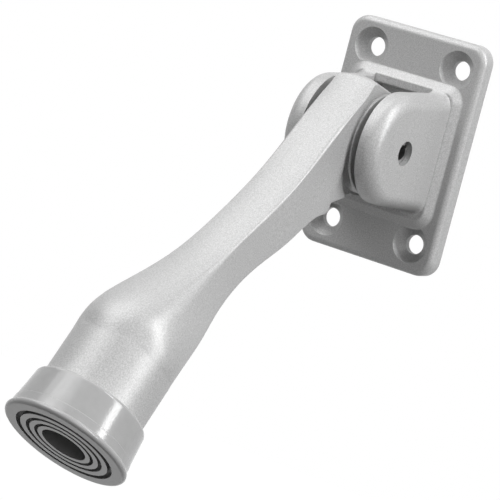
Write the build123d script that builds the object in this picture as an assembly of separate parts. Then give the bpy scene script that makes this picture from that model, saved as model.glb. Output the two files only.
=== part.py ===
"""Kickdown door holder: a cast base with two ears, a cranked arm on a spring pin, and a rubber foot.

The origin is the centre of the base's back face, which lies on the door. X runs along the hinge
pin, +Z is up and the holder stands out from the door towards -Y. Lengths are in millimetres.
The arm is drawn kicked down. A place in the arm's side view is written as (out, up): its distance
out from the door and its height above the middle of the base. Angles in that view start at the
direction straight out from the door and grow upwards.
"""

from build123d import *
import os
from math import acos, atan2, cos, degrees, hypot, radians, sin, sqrt, tan

# Base plate
plate_width = 38.1
plate_height = 57.15
plate_thickness = 4.2
plate_corner = 4.4
plate_rounding = 1.6
screw_spacing_x = 24.0
screw_spacing_z = 43.2
screw_bore = 4.7
sink_width = 9.2
sink_angle = 82.0

# Raised pad that the ears stand on; the margins are between its foot and the plate's outline
pad_margin_x = 3.05
pad_margin_z = 10.9
pad_rise = 1.5
pad_slope = 52.0
pad_corner = 4.4
pad_foot_fillet = 0.8
pad_crest_rounding = 0.7

# Ears and the pocket between them
hinge_out = 21.35
hinge_up = 0.5
ear_radius = 13.5
ear_foot_half_height = 14.3
ear_foot_flare = 2.0
ear_gap = 16.2
ear_step = 0.1
ear_lean = 1.0
ear_rounding = 3.4
pocket_top = 13.5
pocket_bottom = -6.3
pocket_floor = 2.3
pocket_edge = 0.6

# Hinge pin, a slotted spring pin
pin_diameter = 5.9
pin_wall = 1.15
pin_slot = 1.1
pin_recess = 1.1
pin_chamfer = 0.35
pin_seat_gap = 0.01
pin_running_gap = 0.07

# Hub of the arm; its radius and its peak are measured at the middle of the crowned rim
arm_width = 11.2
arm_crown = 0.8
arm_edge = 0.6
hub_radius = 13.2
hub_width = 10.6
peak_out = 27.6
peak_up = 15.6
peak_depth = 31.5
peak_bevel = 1.3
peak_turn = 28.0
drum_radius = 12.2
drum_width = 12.2
drum_edge = 0.45
boss_radius = 9.6
boss_side_gap = 0.15
relief_depth = 2.4
relief_radius = 11.2
relief_slope = 1.2
relief_shift = 3.6
relief_angle = -78.0

# Heel that stops the arm against the pad
heel_top = -7.6
heel_bottom = -11.4
heel_gap = 0.1
heel_rounding = 0.7

# Sections of the shank, from the hub to its waist: share of the way from the hinge to the foot,
# height above the straight line between them, turn of the depth from that line, depth
shank_sections = [
    (0.148, 5.5, 132.0, 24.7),
    (0.265, 4.95, 121.6, 16.8),
    (0.388, 5.48, 108.0, 12.7),
    (0.492, 6.35, 100.9, 11.9),
]

# Sections of the flare below the waist: height above the seam, shift aside, turn from the seam,
# depth, width, corner radius, bow of the flanks, bow of the rims
flare_sections = [
    (37.3, -6.85, 17.1, 14.3, 13.6, 1.8, 60.0, 18.0),
    (26.7, -2.75, -0.6, 20.4, 19.4, 5.0, 22.0, 15.0),
    (17.2, 0.0, 0.0, 24.2, 24.2, 10.4, 12.7, 12.5),
]

# Rubber foot and the arm's round end that carries it
foot_angle = 54.4
foot_out = 111.5
foot_up = -71.25
socket_radius = 12.2
socket_length = 12.0
cap_length = 11.0
cap_top_radius = 13.5
cap_skirt_radius = 14.5
cap_lip_radius = 15.0
cap_lip_roll = 0.8
cap_band_height = 3.4
cap_band_step = 0.12
cap_shoulder = 0.9
spigot_radius = 10.2
spigot_length = 4.6
spigot_bead = 0.5
spigot_bead_height = 1.6
rubber_gap = 0.01
tread_grooves = [(11.9, 10.8), (9.4, 8.5), (7.3, 6.5)]
tread_depth = 1.8
tread_hole_radius = 5.35
tread_hole_depth = 5.0

# Detent: a ball in the hub that a spring presses into two dimples in one ear
arm_swing = 128.0
ball_diameter = 4.0
ball_circle = 6.4
ball_angle = 150.0
ball_gap = 0.05
detent_travel = 0.5
detent_bore_depth = 11.9
spring_wire = 0.45
spring_turns = 5
spring_gap = 0.15


def place(out, up, x=0.0):
    """The point of the model at (out, up) in the side view."""
    return Vector(x, -out, up)


def bar(out, up, radius, x_from, x_to):
    """A round bar that lies along the hinge's direction."""
    plane = Plane(origin=place(out, up, x_from), x_dir=(0, 1, 0), z_dir=(1, 0, 0))
    return extrude(plane * Circle(radius), x_to - x_from)


def around_hinge(radius, angle):
    """The side-view place at this radius and angle from the hinge."""
    return hinge_out + radius * cos(radians(angle)), hinge_up + radius * sin(radians(angle))


def side_plate(outline, x_from, x_to):
    """A side-view outline with straight sides, thick from x_from to x_to."""
    points = [place(out, up, x_from) for out, up in outline]
    return extrude(make_face(Polyline(*points, close=True)), x_to - x_from, dir=(1, 0, 0))


# Base bracket
pad_width = plate_width - 2 * pad_margin_x
pad_height = plate_height - 2 * pad_margin_z
pad_out = plate_thickness + pad_rise
ear_inner = ear_gap / 2
ear_outer = pad_width / 2 - pad_rise * tan(radians(pad_slope)) - ear_step
ear_tip_outer = ear_outer - ear_lean
ear_tip_out = hinge_out + ear_radius

door = Plane(origin=(0, 0, 0), x_dir=(1, 0, 0), z_dir=(0, -1, 0))
bracket = extrude(door * RectangleRounded(plate_width, plate_height, plate_corner), plate_thickness)
bracket = fillet(bracket.faces().sort_by(Axis.Y)[0].edges(), plate_rounding)

pad = extrude(
    door.offset(plate_thickness) * RectangleRounded(pad_width, pad_height, pad_corner),
    pad_rise,
    taper=pad_slope,
)
bracket += pad
pad_foot = [
    edge
    for edge in bracket.edges()
    if abs(edge.center().Y + plate_thickness) < 0.01
    and abs(edge.center().X) < pad_width / 2 + 0.1
    and abs(edge.center().Z) < pad_height / 2 + 0.1
]
bracket = fillet(pad_foot, pad_foot_fillet)
pad_crest = bracket.faces().sort_by(Axis.Y)[0].edges()
bracket = fillet(pad_crest, pad_crest_rounding)

# Side view of an ear: a round head whose tangents spread to the pad and flare into it.
spread = ear_foot_half_height - ear_radius
lean = spread / (hinge_out - pad_out)
touch = ear_radius * sin(atan2(lean, 1.0))
flare_out = pad_out + ear_foot_flare
root_out = plate_thickness / 2


def ear_edge(out):
    """Half the ear's height at this distance from the door."""
    return ear_radius / cos(atan2(lean, 1.0)) + lean * (hinge_out - out)


top_touch = (hinge_out + touch, hinge_up + ear_radius * cos(atan2(lean, 1.0)))
low_touch = (top_touch[0], 2 * hinge_up - top_touch[1])
flare_top = (flare_out, hinge_up + ear_edge(flare_out))
flare_low = (flare_out, 2 * hinge_up - flare_top[1])
root_half = ear_edge(pad_out) + 1.0
root_top = (pad_out, hinge_up + root_half)
root_low = (pad_out, hinge_up - root_half)
along = Vector(0, 1, lean).normalized()


def ear_profile(x):
    """The ear's side view as a face at this x."""
    head = ThreePointArc(place(*top_touch, x), place(*around_hinge(ear_radius, 0), x), place(*low_touch, x))
    low_flare = TangentArc(place(*flare_low, x), place(*root_low, x), tangent=Vector(0, along.Y, -along.Z))
    top_flare = TangentArc(place(*flare_top, x), place(*root_top, x), tangent=along)
    return make_face(
        [
            head,
            Line(place(*low_touch, x), place(*flare_low, x)),
            low_flare,
            Polyline(
                place(*root_low, x),
                place(root_out, root_low[1], x),
                place(root_out, root_top[1], x),
                place(*root_top, x),
            ),
            top_flare,
            Line(place(*flare_top, x), place(*top_touch, x)),
        ]
    )


def ear(side):
    """One ear; side is 1 or -1. Its outer face leans in towards the tip."""
    block = extrude(ear_profile(side * ear_inner), side * 2 * (ear_outer - ear_inner), dir=(1, 0, 0))
    slope = (ear_outer - ear_tip_outer) / (ear_tip_out - pad_out)
    outline = [
        (side * ear_inner, 0),
        (side * (ear_outer + slope * pad_out), 0),
        (side * (ear_tip_outer - slope), -(ear_tip_out + 1)),
        (side * ear_inner, -(ear_tip_out + 1)),
    ]
    top = pad_height
    wedge = extrude(
        make_face(Polyline(*[Vector(x, y, -top) for x, y in outline], close=True)), 2 * top, dir=(0, 0, 1)
    )
    block = block & wedge
    outer_face = block.faces().sort_by(Axis.X)[-1 if side > 0 else 0]
    rim = [edge for edge in outer_face.edges() if edge.center().Y < -root_out - 0.5]
    return fillet(rim, ear_rounding)


bracket += ear(1)
bracket += ear(-1)

pocket_plane = door.offset(pocket_floor)
pocket_place = pocket_plane * Pos(0, (pocket_top + pocket_bottom) / 2)
pocket_outline = pocket_place * Rectangle(ear_gap, pocket_top - pocket_bottom)
bracket -= extrude(pocket_outline, pad_out)
pocket_rims = [
    edge
    for edge in bracket.edges().filter_by(Axis.X)
    if abs(edge.center().Y + pad_out) < 0.01 and edge.length > ear_inner
]
bracket = fillet(pocket_rims, pocket_edge)

# Countersunk screw holes, at the corners of a rectangle
sink_depth = (sink_width - screw_bore) / 2 / tan(radians(sink_angle / 2))
for hole in GridLocations(screw_spacing_x, screw_spacing_z, 2, 2):
    front = door.offset(plate_thickness) * hole
    bracket -= extrude(door * hole * Circle(screw_bore / 2), plate_thickness)
    bracket -= front * Pos(0, 0, -sink_depth / 2) * Cone(screw_bore / 2, sink_width / 2, sink_depth)

# Bore through both ears for the pin
pin_radius = pin_diameter / 2
bracket -= bar(hinge_out, hinge_up, pin_radius + pin_seat_gap, -ear_outer - 1, ear_outer + 1)

# Dimples in one ear's inner face, where the ball rests with the arm down and with it up
ball_radius = ball_diameter / 2
ball_ride = ear_inner - ball_gap - ball_radius
for turn in (0, arm_swing):
    spot = around_hinge(ball_circle, ball_angle + turn)
    bracket -= Pos(*place(*spot, ball_ride + detent_travel)) * Rot(0, 0, 180) * Sphere(ball_radius + ball_gap)

# Slotted spring pin, a little shorter than the ears are wide at its height
ear_face_x = ear_outer - (hinge_out - pad_out) * (ear_outer - ear_tip_outer) / (ear_tip_out - pad_out)
pin_end = ear_face_x - pin_recess
hinge_pin = bar(hinge_out, hinge_up, pin_radius, -pin_end, pin_end)
hinge_pin = chamfer(hinge_pin.edges().filter_by(GeomType.CIRCLE), pin_chamfer)
hinge_pin -= bar(hinge_out, hinge_up, pin_radius - pin_wall, -pin_end, pin_end)
slot = Box(2 * pin_end, pin_slot, 2 * pin_radius, align=(Align.CENTER, Align.CENTER, Align.MIN))
hinge_pin -= Pos(*place(hinge_out, hinge_up)) * Rot(-40, 0, 0) * slot


def across(low, high):
    """The plane across the arm through two side-view places, and half their distance."""
    low_point, high_point = place(*low), place(*high)
    depth = high_point - low_point
    middle = (low_point + high_point) / 2
    return Plane(origin=middle, x_dir=(1, 0, 0), z_dir=Vector(1, 0, 0).cross(depth)), depth.length / 2


def ends_of_depth(start, angle, along, above, turn, depth):
    """The low and the high side-view place of a section. Its middle lies this far along a line from
    start and this far above it; angle is the line's, turn is the section's from the line."""
    line = radians(angle)
    middle = (
        start[0] + along * cos(line) - above * sin(line),
        start[1] + along * sin(line) + above * cos(line),
    )
    half = (depth / 2 * cos(radians(angle + turn)), depth / 2 * sin(radians(angle + turn)))
    return (middle[0] - half[0], middle[1] - half[1]), (middle[0] + half[0], middle[1] + half[1])


def ring_of_arcs(plane, points):
    """A face bounded by eight arcs; points lists the end and the middle of each in turn."""
    spots = [plane.from_local_coords(Vector(x, y)) for x, y in points]
    spots.append(spots[0])
    arcs = []
    for start, middle, end in zip(spots[0:-2:2], spots[1:-1:2], spots[2::2]):
        bow = (middle - (start + end) / 2).length
        arcs.append(Line(start, end) if bow < 0.001 else ThreePointArc(start, middle, end))
    return make_face(arcs)


def mirrored(quarter):
    """Eight arcs' points, from those between the middle of a flank and the middle of a rim."""
    middle_flank, *corner, middle_rim = quarter
    points = corner + [middle_rim]
    points += [(-x, y) for x, y in reversed(corner)]
    points += [(-middle_flank[0], 0)]
    points += [(-x, -y) for x, y in corner]
    points += [(0, -middle_rim[1])]
    points += [(x, -y) for x, y in reversed(corner)]
    return points + [middle_flank]


def crowned_section(low, high, width):
    """A section across the shank: flat flanks and crowned rims, with small corner arcs."""
    plane, half_depth = across(low, high)
    bow = (width**2 / 4 + arm_crown**2) / (2 * arm_crown)
    centre_x = width / 2 - arm_edge
    centre_y = half_depth - bow + sqrt((bow - arm_edge) ** 2 - centre_x**2)
    lean = atan2(centre_x, centre_y - half_depth + bow)
    half = (radians(90) - lean) / 2
    corner = [
        (width / 2, centre_y),
        (centre_x + arm_edge * cos(half), centre_y + arm_edge * sin(half)),
        (centre_x + arm_edge * sin(lean), centre_y + arm_edge * cos(lean)),
    ]
    return ring_of_arcs(plane, mirrored([(width / 2, 0), *corner, (0, half_depth)]))


def bowed_section(low, high, width, corner_radius, flank_bow, rim_bow):
    """A section across the flare: flanks and rims are arcs, joined by tangent corner arcs."""
    plane, half_depth = across(low, high)
    flank_centre = Vector(width / 2 - flank_bow, 0)
    rim_centre = Vector(0, half_depth - rim_bow)
    between = rim_centre - flank_centre
    along = ((flank_bow - corner_radius) ** 2 - (rim_bow - corner_radius) ** 2) / (2 * between.length)
    along += between.length / 2
    aside = sqrt((flank_bow - corner_radius) ** 2 - along**2)
    unit = between.normalized()
    centre = flank_centre + unit * along + Vector(-unit.Y, unit.X) * aside
    flank_end = centre + (centre - flank_centre).normalized() * corner_radius
    rim_end = centre + (centre - rim_centre).normalized() * corner_radius
    middle = centre + ((flank_end + rim_end) / 2 - centre).normalized() * corner_radius
    corner = [(spot.X, spot.Y) for spot in (flank_end, middle, rim_end)]
    return ring_of_arcs(plane, mirrored([(width / 2, 0), *corner, (0, half_depth)]))


def round_section(plane, radius):
    """A round section as eight arcs, so that it matches the other sections."""
    quarter = [(radius * cos(radians(turn)), radius * sin(radians(turn))) for turn in (0, 22.5, 45, 67.5, 90)]
    return ring_of_arcs(plane, mirrored(quarter))


# Hub: its crowned rim turns round the hinge, then runs straight up to the peak.
peak_radius = hypot(peak_out - hinge_out, peak_up - hinge_up)
rim_angle = degrees(atan2(peak_up - hinge_up, peak_out - hinge_out) + acos(hub_radius / peak_radius))
rim_top = around_hinge(hub_radius, rim_angle)
rim_bottom = around_hinge(hub_radius, rim_angle + 180)
peak_foot = (peak_out - peak_depth * cos(radians(rim_angle)), peak_up - peak_depth * sin(radians(rim_angle)))
bevel_turn = radians(rim_angle - 90 - peak_turn)
bevel_top = (peak_out + peak_bevel * cos(bevel_turn), peak_up + peak_bevel * sin(bevel_turn))
hub_face = crowned_section(rim_bottom, rim_top, hub_width)
peak_face = crowned_section(peak_foot, (peak_out, peak_up), hub_width)
bevel_face = crowned_section((peak_foot[0] + peak_bevel / 2, peak_foot[1] - peak_bevel / 2), bevel_top, hub_width)
hinge_axis = Axis(place(hinge_out, hinge_up), (1, 0, 0))
upwards = place(*rim_top) - place(hinge_out, hinge_up)
hub = revolve(split(hub_face, Plane(origin=place(hinge_out, hinge_up), z_dir=upwards)), hinge_axis)
hub += loft([hub_face, peak_face], ruled=True) + loft([peak_face, bevel_face], ruled=True)

# Shank and flare, drawn through the sections to the round end that carries the rubber foot
foot_turn = radians(foot_angle)
foot = Plane(origin=place(foot_out, foot_up), x_dir=(1, 0, 0), z_dir=(0, cos(foot_turn), sin(foot_turn)))
seam = foot.offset(cap_length)
socket_top = foot.offset(cap_length + socket_length)
seam_middle = (foot_out - cap_length * cos(foot_turn), foot_up + cap_length * sin(foot_turn))
line_length = hypot(foot_out - hinge_out, foot_up - hinge_up)
line_angle = degrees(atan2(foot_up - hinge_up, foot_out - hinge_out))
sections = [bevel_face]
for share, above, turn, depth in shank_sections:
    ends = ends_of_depth((hinge_out, hinge_up), line_angle, share * line_length, above, turn, depth)
    sections.append(crowned_section(*ends, arm_width))
for height, aside, turn, depth, *shape in flare_sections:
    ends = ends_of_depth(seam_middle, 90 - foot_angle, aside, height, turn, depth)
    sections.append(bowed_section(*ends, *shape))
sections += [round_section(socket_top, socket_radius)]
arm = hub + loft(sections) + extrude(seam * Circle(socket_radius), socket_length)

# Heel: a toe behind the hub with a flat that meets the pad when the arm is down
heel_out = pad_out + heel_gap
toe = side_plate(
    [
        (heel_out, heel_top),
        (heel_out, heel_bottom),
        (heel_out + 3.2, heel_bottom - 1.9),
        (hinge_out, hinge_up - drum_radius),
        (hinge_out, hinge_up),
        (heel_out + 3.6, hinge_up),
    ],
    -hub_width / 2,
    hub_width / 2,
)
toe_edges = [edge for edge in toe.edges().filter_by(Axis.X) if edge.center().Y > -heel_out - 0.01]
arm += fillet(toe_edges, heel_rounding)

# Drum and bosses: the flanks are cut back round the drum, which stands proud on both sides.
relief_out = hinge_out + relief_shift * cos(radians(relief_angle))
relief_up = hinge_up + relief_shift * sin(radians(relief_angle))
relief_floor = drum_width / 2 - relief_depth
for side in (1, -1):
    start = Plane(origin=place(relief_out, relief_up, side * relief_floor), x_dir=(0, 1, 0), z_dir=(side, 0, 0))
    finish = start.offset(relief_depth)
    arm -= loft([start * Circle(relief_radius), finish * Circle(relief_radius + relief_slope)])
drum = bar(hinge_out, hinge_up, drum_radius, -drum_width / 2, drum_width / 2)
arm += fillet(drum.edges().filter_by(GeomType.CIRCLE), drum_edge)
boss_end = ear_inner - boss_side_gap
arm += bar(hinge_out, hinge_up, boss_radius, -boss_end, boss_end)
arm -= bar(hinge_out, hinge_up, pin_radius + pin_running_gap, -boss_end, boss_end)

# Blind bore for the detent ball and its spring
bore_end = boss_end - detent_bore_depth
ball_spot = around_hinge(ball_circle, ball_angle)
arm -= bar(*ball_spot, ball_radius + ball_gap, bore_end, boss_end)
detent_ball = Pos(*place(*ball_spot, ball_ride)) * Sphere(ball_radius)

# Compression spring behind the ball
coil_radius = ball_radius - spring_gap - spring_wire / 2
coil_length = ball_ride - ball_radius - bore_end - spring_wire
coil_start = place(*ball_spot, bore_end + spring_wire / 2)
coil_plane = Plane(origin=coil_start, x_dir=(0, 1, 0), z_dir=(1, 0, 0))
coil = coil_plane * Helix(coil_length / spring_turns, coil_length, coil_radius)
wire_section = Plane(origin=coil @ 0, z_dir=coil % 0) * RegularPolygon(spring_wire / 2, 6)
detent_spring = sweep(wire_section, path=coil)

# Spigot on the arm's round end, with a bead that keeps the rubber foot on
spigot_end = cap_length - spigot_length
arm += extrude(foot.offset(spigot_end) * Circle(spigot_radius), spigot_length)
bead_low = spigot_end + spigot_bead_height
bead = loft([foot.offset(bead_low) * Circle(spigot_radius), foot.offset(bead_low + spigot_bead)
             * Circle(spigot_radius + spigot_bead)])
arm += bead

# Rubber foot: a skirt that widens to a rolled lip, bored for the spigot and grooved underneath
profile = Plane(origin=foot.origin, x_dir=(1, 0, 0), z_dir=Vector(1, 0, 0).cross(foot.z_dir))


def turned(outline):
    """A solid turned about the foot's axis from (radius, height) places."""
    points = [profile.from_local_coords(Vector(radius, height)) for radius, height in outline]
    return revolve(make_face(Polyline(*points, close=True)), Axis(foot.origin, foot.z_dir))


lip_middle = cap_lip_radius - cap_lip_roll
cap_slope = (cap_skirt_radius - cap_top_radius) / (cap_length - cap_lip_roll)
band_radius = cap_skirt_radius - cap_slope * (cap_band_height - cap_lip_roll)
foot_cap = turned(
    [
        (0, 0),
        (lip_middle, 0),
        (cap_skirt_radius + cap_band_step, cap_lip_roll),
        (band_radius + cap_band_step, cap_band_height),
        (band_radius, cap_band_height + cap_band_step),
        (cap_top_radius, cap_length),
        (0, cap_length),
    ]
)
top_rim = [edge for edge in foot_cap.edges().filter_by(GeomType.CIRCLE) if abs(edge.radius - cap_top_radius) < 0.01]
foot_cap = fillet(top_rim, cap_shoulder)
foot_cap += revolve(profile * Pos(lip_middle, cap_lip_roll) * Circle(cap_lip_roll), Axis(foot.origin, foot.z_dir))
spigot_fit = spigot_radius + rubber_gap
bead_fit = spigot_radius + spigot_bead + rubber_gap
foot_cap -= turned(
    [
        (0, spigot_end),
        (spigot_fit, spigot_end),
        (spigot_fit, bead_low),
        (bead_fit, bead_low + spigot_bead),
        (bead_fit, bead_low + 2 * spigot_bead),
        (spigot_fit, bead_low + 3 * spigot_bead),
        (spigot_fit, cap_length),
        (0, cap_length),
    ]
)
for outer, inner in tread_grooves:
    foot_cap -= turned([(inner, 0), (outer, 0), (outer, tread_depth), (inner, tread_depth)])
foot_cap -= extrude(foot * Circle(tread_hole_radius), tread_hole_depth)

nodes = {
    "base_bracket": bracket,
    "hinge_pin": hinge_pin,
    "arm": arm,
    "detent_ball": detent_ball,
    "detent_spring": detent_spring,
    "foot_cap": foot_cap,
}
os.makedirs("parts", exist_ok=True)
for name, solid in nodes.items():
    export_step(solid, f"parts/{name}.step")
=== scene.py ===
"""Kickdown door holder: looks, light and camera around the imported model.

Lengths are in metres and in the model's own frame: the door lies behind the base, in the
plane y = 0, +Z is up and the arm stands out towards -Y. Angles are in degrees. Greys are
linear, from 0 for black to 1 for white.
"""

import math

import bpy
from mathutils import Matrix, Vector

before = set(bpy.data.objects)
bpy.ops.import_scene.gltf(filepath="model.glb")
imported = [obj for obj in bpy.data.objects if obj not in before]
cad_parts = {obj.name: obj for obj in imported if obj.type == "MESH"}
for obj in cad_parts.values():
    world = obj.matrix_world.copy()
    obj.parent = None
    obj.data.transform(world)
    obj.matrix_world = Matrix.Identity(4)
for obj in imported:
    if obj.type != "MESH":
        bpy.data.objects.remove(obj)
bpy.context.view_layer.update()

# Camera, where the photograph was taken from. The shifts are how far right of the picture's
# middle, and how far above it, the model's origin shows.
VIEW_AZIMUTH = 30.271
VIEW_ELEVATION = 7.602
VIEW_ROLL = 14.587
VIEW_DISTANCE = 0.655959
SHIFT_RIGHT = 0.036084
SHIFT_UP = 0.025421
FOCAL_PIXELS = 2703.927
IMAGE_PIXELS = 500
SENSOR_MM = 36.0
CLIP_START = 0.01
CLIP_END = 20.0

# A pattern gives its dark tone up to the start, and its pale tone from the end on
RAMP_START = 0.3
RAMP_END = 0.7
BUMP_DEPTH = 0.00002

# Silver paint of the two castings
PAINT_DARK = 0.38
PAINT_PALE = 0.56
PAINT_METALLIC = 0.2
PAINT_SMOOTHEST = 0.39
PAINT_ROUGHEST = 0.47
PATCH_SCALE = 90.0
PATCH_DETAIL = 3.0
FLAKE_SCALE = 3600.0
FLAKE_DETAIL = 2.0
FLAKE_BUMP = 0.25

# Rubber of the foot
RUBBER_DARK = 0.405
RUBBER_PALE = 0.44
RUBBER_ROUGHNESS = 0.15
RUBBER_SCALE = 350.0
RUBBER_DETAIL = 4.0
RUBBER_BUMP = 0.1

# Steel of the pin, the ball and the spring
STEEL_DARK = 0.25
STEEL_PALE = 0.45
STEEL_ROUGHNESS = 0.35
STEEL_SCALE = 900.0
STEEL_DETAIL = 2.0

# Light
WORLD_FILL = 0.05
FLOOR_GREY = 0.2
FLOOR_HEIGHT = -0.8
FLOOR_SIZE = 6.0
TARGET = (0.0, -0.05, -0.02)
# name, direction from the target, distance, width, height, power in watts
LAMPS = [
    ("top", (-0.446, -0.145, 0.883), 0.7, 0.6, 0.6, 2.6),
    ("front_top", (-0.354, -0.612, 0.707), 0.8, 0.5, 0.5, 1.9),
    ("front_right", (0.613, -0.657, 0.438), 0.9, 0.5, 0.5, 1.3),
    ("right_strip", (0.827, 0.058, 0.559), 0.7, 0.13, 0.8, 5.0),
]


def aim():
    """The camera's right, up and back directions in the model's frame."""
    azimuth, elevation, roll = (math.radians(v) for v in (VIEW_AZIMUTH, VIEW_ELEVATION, VIEW_ROLL))
    back = Vector(
        (
            math.sin(azimuth) * math.cos(elevation),
            -math.cos(azimuth) * math.cos(elevation),
            math.sin(elevation),
        )
    )
    level = Vector((0, 0, 1)).cross(back).normalized()
    upright = back.cross(level)
    right = level * math.cos(roll) + upright * math.sin(roll)
    up = upright * math.cos(roll) - level * math.sin(roll)
    return right, up, back


def add_camera():
    """A long lens where the photograph was taken from."""
    right, up, back = aim()
    data = bpy.data.cameras.new("camera")
    data.sensor_fit = "HORIZONTAL"
    data.sensor_width = SENSOR_MM
    data.lens = FOCAL_PIXELS * SENSOR_MM / IMAGE_PIXELS
    data.clip_start = CLIP_START
    data.clip_end = CLIP_END
    camera = bpy.data.objects.new("camera", data)
    bpy.context.scene.collection.objects.link(camera)
    matrix = Matrix((right, up, back)).transposed().to_4x4()
    matrix.translation = back * VIEW_DISTANCE - right * SHIFT_RIGHT - up * SHIFT_UP
    camera.matrix_world = matrix
    bpy.context.scene.camera = camera


def new_material(name):
    """A new material with its nodes, its links and its main shader."""
    material = bpy.data.materials.new(name)
    material.use_nodes = True
    nodes = material.node_tree.nodes
    return material, nodes, material.node_tree.links, nodes["Principled BSDF"]


def noise(nodes, links, scale, detail):
    """A noise pattern that is fixed to the piece."""
    place = nodes.new("ShaderNodeTexCoord")
    pattern = nodes.new("ShaderNodeTexNoise")
    pattern.inputs["Scale"].default_value = scale
    pattern.inputs["Detail"].default_value = detail
    links.new(place.outputs["Object"], pattern.inputs["Vector"])
    return pattern.outputs["Fac"]


def grey_ramp(nodes, links, pattern, dark, pale):
    """Turns a pattern into a neutral tone between dark and pale."""
    tone = nodes.new("ShaderNodeValToRGB")
    ends = zip(tone.color_ramp.elements, (RAMP_START, RAMP_END), (dark, pale))
    for stop, position, grey in ends:
        stop.position = position
        stop.color = (grey, grey, grey, 1)
    links.new(pattern, tone.inputs["Fac"])
    return tone.outputs["Color"]


def roughen(nodes, links, pattern, shader, strength):
    """Makes the surface look faintly uneven, raised where the pattern is high."""
    bump = nodes.new("ShaderNodeBump")
    bump.inputs["Strength"].default_value = strength
    bump.inputs["Distance"].default_value = BUMP_DEPTH
    links.new(pattern, bump.inputs["Height"])
    links.new(bump.outputs["Normal"], shader.inputs["Normal"])


def cast_paint():
    """Satin silver paint with fine metal flake, smoother in some patches than in others."""
    material, nodes, links, shader = new_material("satin_silver_paint")
    flake = noise(nodes, links, FLAKE_SCALE, FLAKE_DETAIL)
    links.new(grey_ramp(nodes, links, flake, PAINT_DARK, PAINT_PALE), shader.inputs["Base Color"])
    rough = nodes.new("ShaderNodeMapRange")
    rough.inputs["To Min"].default_value = PAINT_SMOOTHEST
    rough.inputs["To Max"].default_value = PAINT_ROUGHEST
    links.new(noise(nodes, links, PATCH_SCALE, PATCH_DETAIL), rough.inputs["Value"])
    links.new(rough.outputs["Result"], shader.inputs["Roughness"])
    roughen(nodes, links, flake, shader, FLAKE_BUMP)
    shader.inputs["Metallic"].default_value = PAINT_METALLIC
    return material


def foot_rubber():
    """Smooth grey moulded rubber."""
    material, nodes, links, shader = new_material("grey_rubber")
    cloud = noise(nodes, links, RUBBER_SCALE, RUBBER_DETAIL)
    links.new(grey_ramp(nodes, links, cloud, RUBBER_DARK, RUBBER_PALE), shader.inputs["Base Color"])
    roughen(nodes, links, cloud, shader, RUBBER_BUMP)
    shader.inputs["Roughness"].default_value = RUBBER_ROUGHNESS
    return material


def plain_steel():
    """Dull bare steel."""
    material, nodes, links, shader = new_material("plain_steel")
    cloud = noise(nodes, links, STEEL_SCALE, STEEL_DETAIL)
    links.new(grey_ramp(nodes, links, cloud, STEEL_DARK, STEEL_PALE), shader.inputs["Base Color"])
    shader.inputs["Metallic"].default_value = 1.0
    shader.inputs["Roughness"].default_value = STEEL_ROUGHNESS
    return material


def background_ray(nodes, links):
    """1 for what the camera or a shiny surface sees, 0 for light that falls on the object."""
    path = nodes.new("ShaderNodeLightPath")
    seen = path.outputs["Is Camera Ray"]
    for ray in ("Is Glossy Ray", "Is Transmission Ray"):
        either = nodes.new("ShaderNodeMath")
        either.operation = "MAXIMUM"
        links.new(seen, either.inputs[0])
        links.new(path.outputs[ray], either.inputs[1])
        seen = either.outputs["Value"]
    return seen


def add_world():
    """White where it is seen, a dim even fill where it lights the object."""
    world = bpy.data.worlds.new("studio")
    bpy.context.scene.world = world
    world.use_nodes = True
    nodes, links = world.node_tree.nodes, world.node_tree.links
    strength = nodes.new("ShaderNodeMapRange")
    strength.inputs["To Min"].default_value = WORLD_FILL
    strength.inputs["To Max"].default_value = 1.0
    links.new(background_ray(nodes, links), strength.inputs["Value"])
    nodes["Background"].inputs["Color"].default_value = (1, 1, 1, 1)
    links.new(strength.outputs["Result"], nodes["Background"].inputs["Strength"])


def add_floor():
    """A matt floor far below the object, which looks white wherever it is seen."""
    half = FLOOR_SIZE / 2
    mesh = bpy.data.meshes.new("floor")
    corners = [(-half, -half, 0), (half, -half, 0), (half, half, 0), (-half, half, 0)]
    mesh.from_pydata(corners, [], [(0, 1, 2, 3)])
    floor = bpy.data.objects.new("floor", mesh)
    floor.location.z = FLOOR_HEIGHT
    bpy.context.scene.collection.objects.link(floor)
    material, nodes, links, shader = new_material("pale_floor")
    shader.inputs["Base Color"].default_value = (FLOOR_GREY, FLOOR_GREY, FLOOR_GREY, 1)
    shader.inputs["Roughness"].default_value = 1.0
    shader.inputs["Specular IOR Level"].default_value = 0.0
    shader.inputs["Emission Color"].default_value = (1, 1, 1, 1)
    links.new(background_ray(nodes, links), shader.inputs["Emission Strength"])
    mesh.materials.append(material)


def dress(node, material):
    """Gives a node of the model its finish."""
    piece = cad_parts[node]
    piece.data.materials.clear()
    piece.data.materials.append(material)


def add_lamp(name, direction, distance, width, height, power):
    """A soft rectangular lamp that shines on the target."""
    data = bpy.data.lights.new(name, "AREA")
    data.shape = "RECTANGLE"
    data.size = width
    data.size_y = height
    data.energy = power
    lamp = bpy.data.objects.new(name, data)
    bpy.context.scene.collection.objects.link(lamp)
    towards = Vector(direction).normalized()
    lamp.location = Vector(TARGET) + towards * distance
    lamp.rotation_euler = towards.to_track_quat("Z", "Y").to_euler()


add_camera()
add_world()
add_floor()
for lamp in LAMPS:
    add_lamp(*lamp)

paint = cast_paint()
for node in ("base_bracket", "arm"):
    dress(node, paint)
steel = plain_steel()
for node in ("hinge_pin", "detent_ball", "detent_spring"):
    dress(node, steel)
dress("foot_cap", foot_rubber())
bpy.context.scene.view_settings.view_transform = "Standard"
